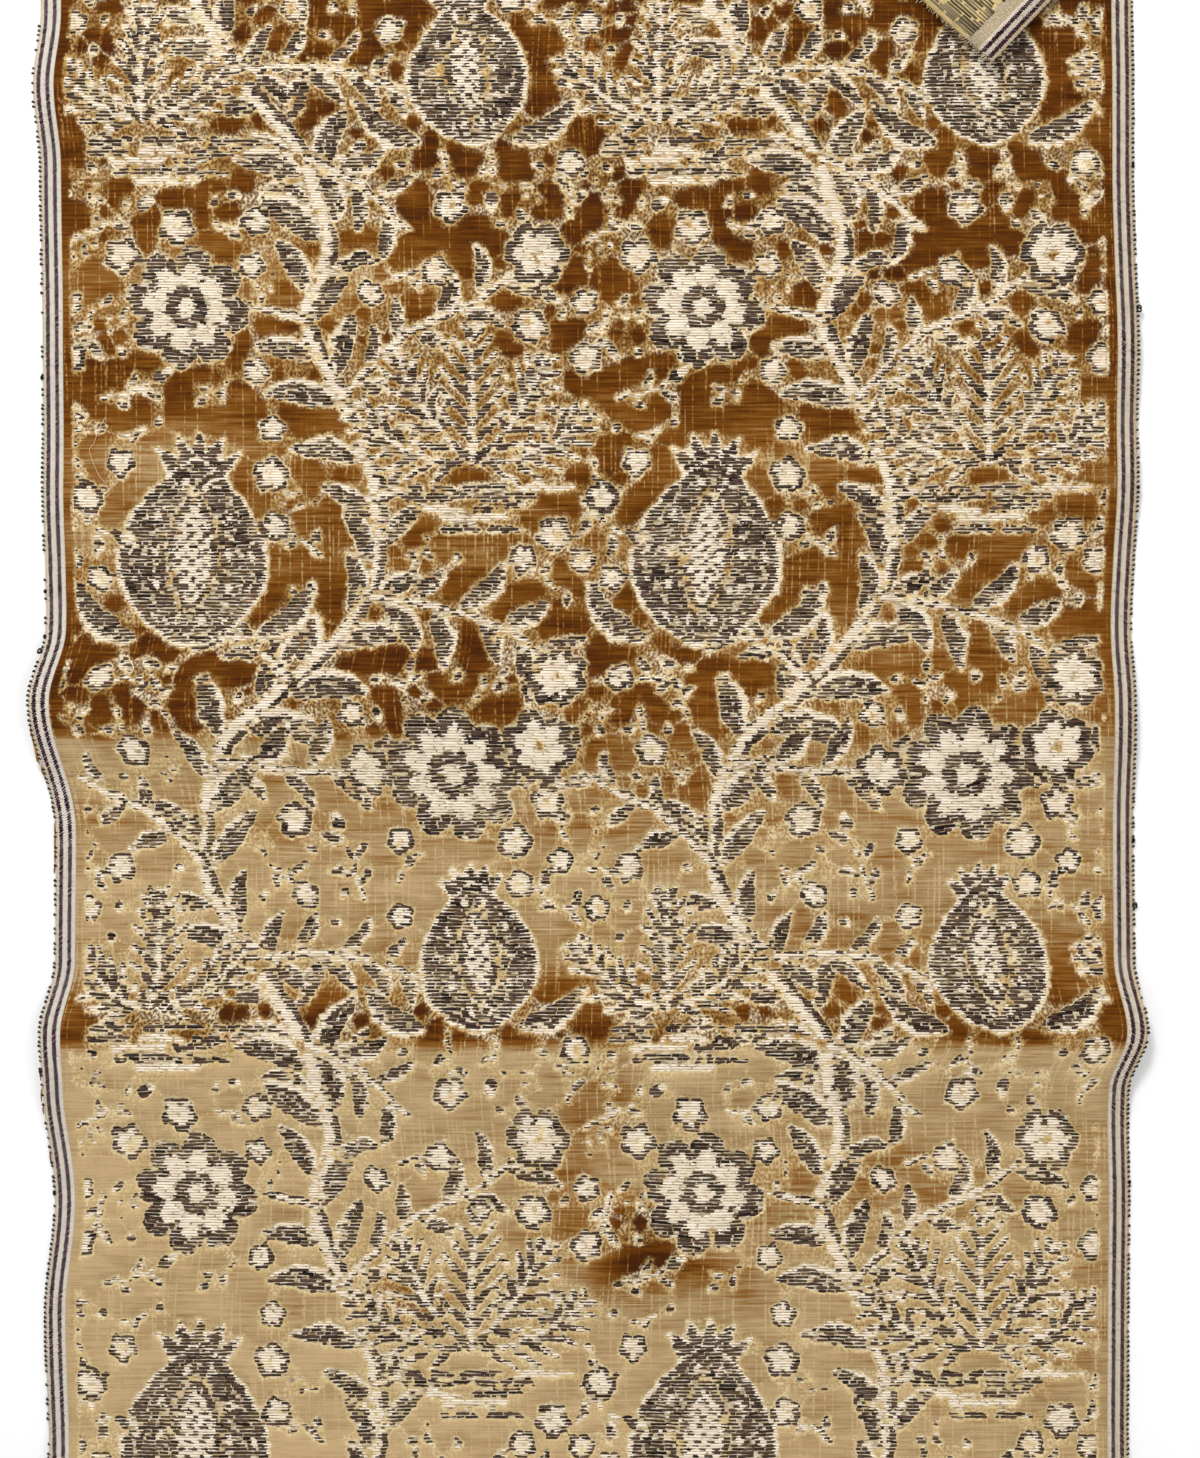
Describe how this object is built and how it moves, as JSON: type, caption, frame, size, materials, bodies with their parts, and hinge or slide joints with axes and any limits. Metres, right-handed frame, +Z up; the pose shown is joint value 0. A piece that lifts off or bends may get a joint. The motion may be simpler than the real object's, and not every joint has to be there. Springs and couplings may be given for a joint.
{
  "type": "metallic velvet panel",
  "caption": "Loom-width length of brocaded velvet laid out face up, with soft cross folds, woven selvedges and one far corner turned back to show the reverse.",
  "frame": {"origin": "middle of the part's outline seen from above, on the surface that the cloth lies on", "axes": "+X across the cloth to its right selvedge, +Y along the cloth to the end with the turned corner, +Z up from the surface to the pile side"},
  "size_m": [0.5728, 0.9964, 0.0119],
  "materials": {
    "silk_velvet": "gold silk pile, dark where it faces away and pale where it is crushed, voided for the figure",
    "metal_thread": "tarnished metal-wrapped weft, dull grey-brown with a low sheen",
    "cream_silk": "ivory silk weft floats with a satin sheen",
    "selvedge_yarn": "matt cream warp with plum lines and a dark looped edge"
  },
  "bodies": {
    "root": {"velvet_panel": "silk_velvet"}
  },
  "joints": []
}
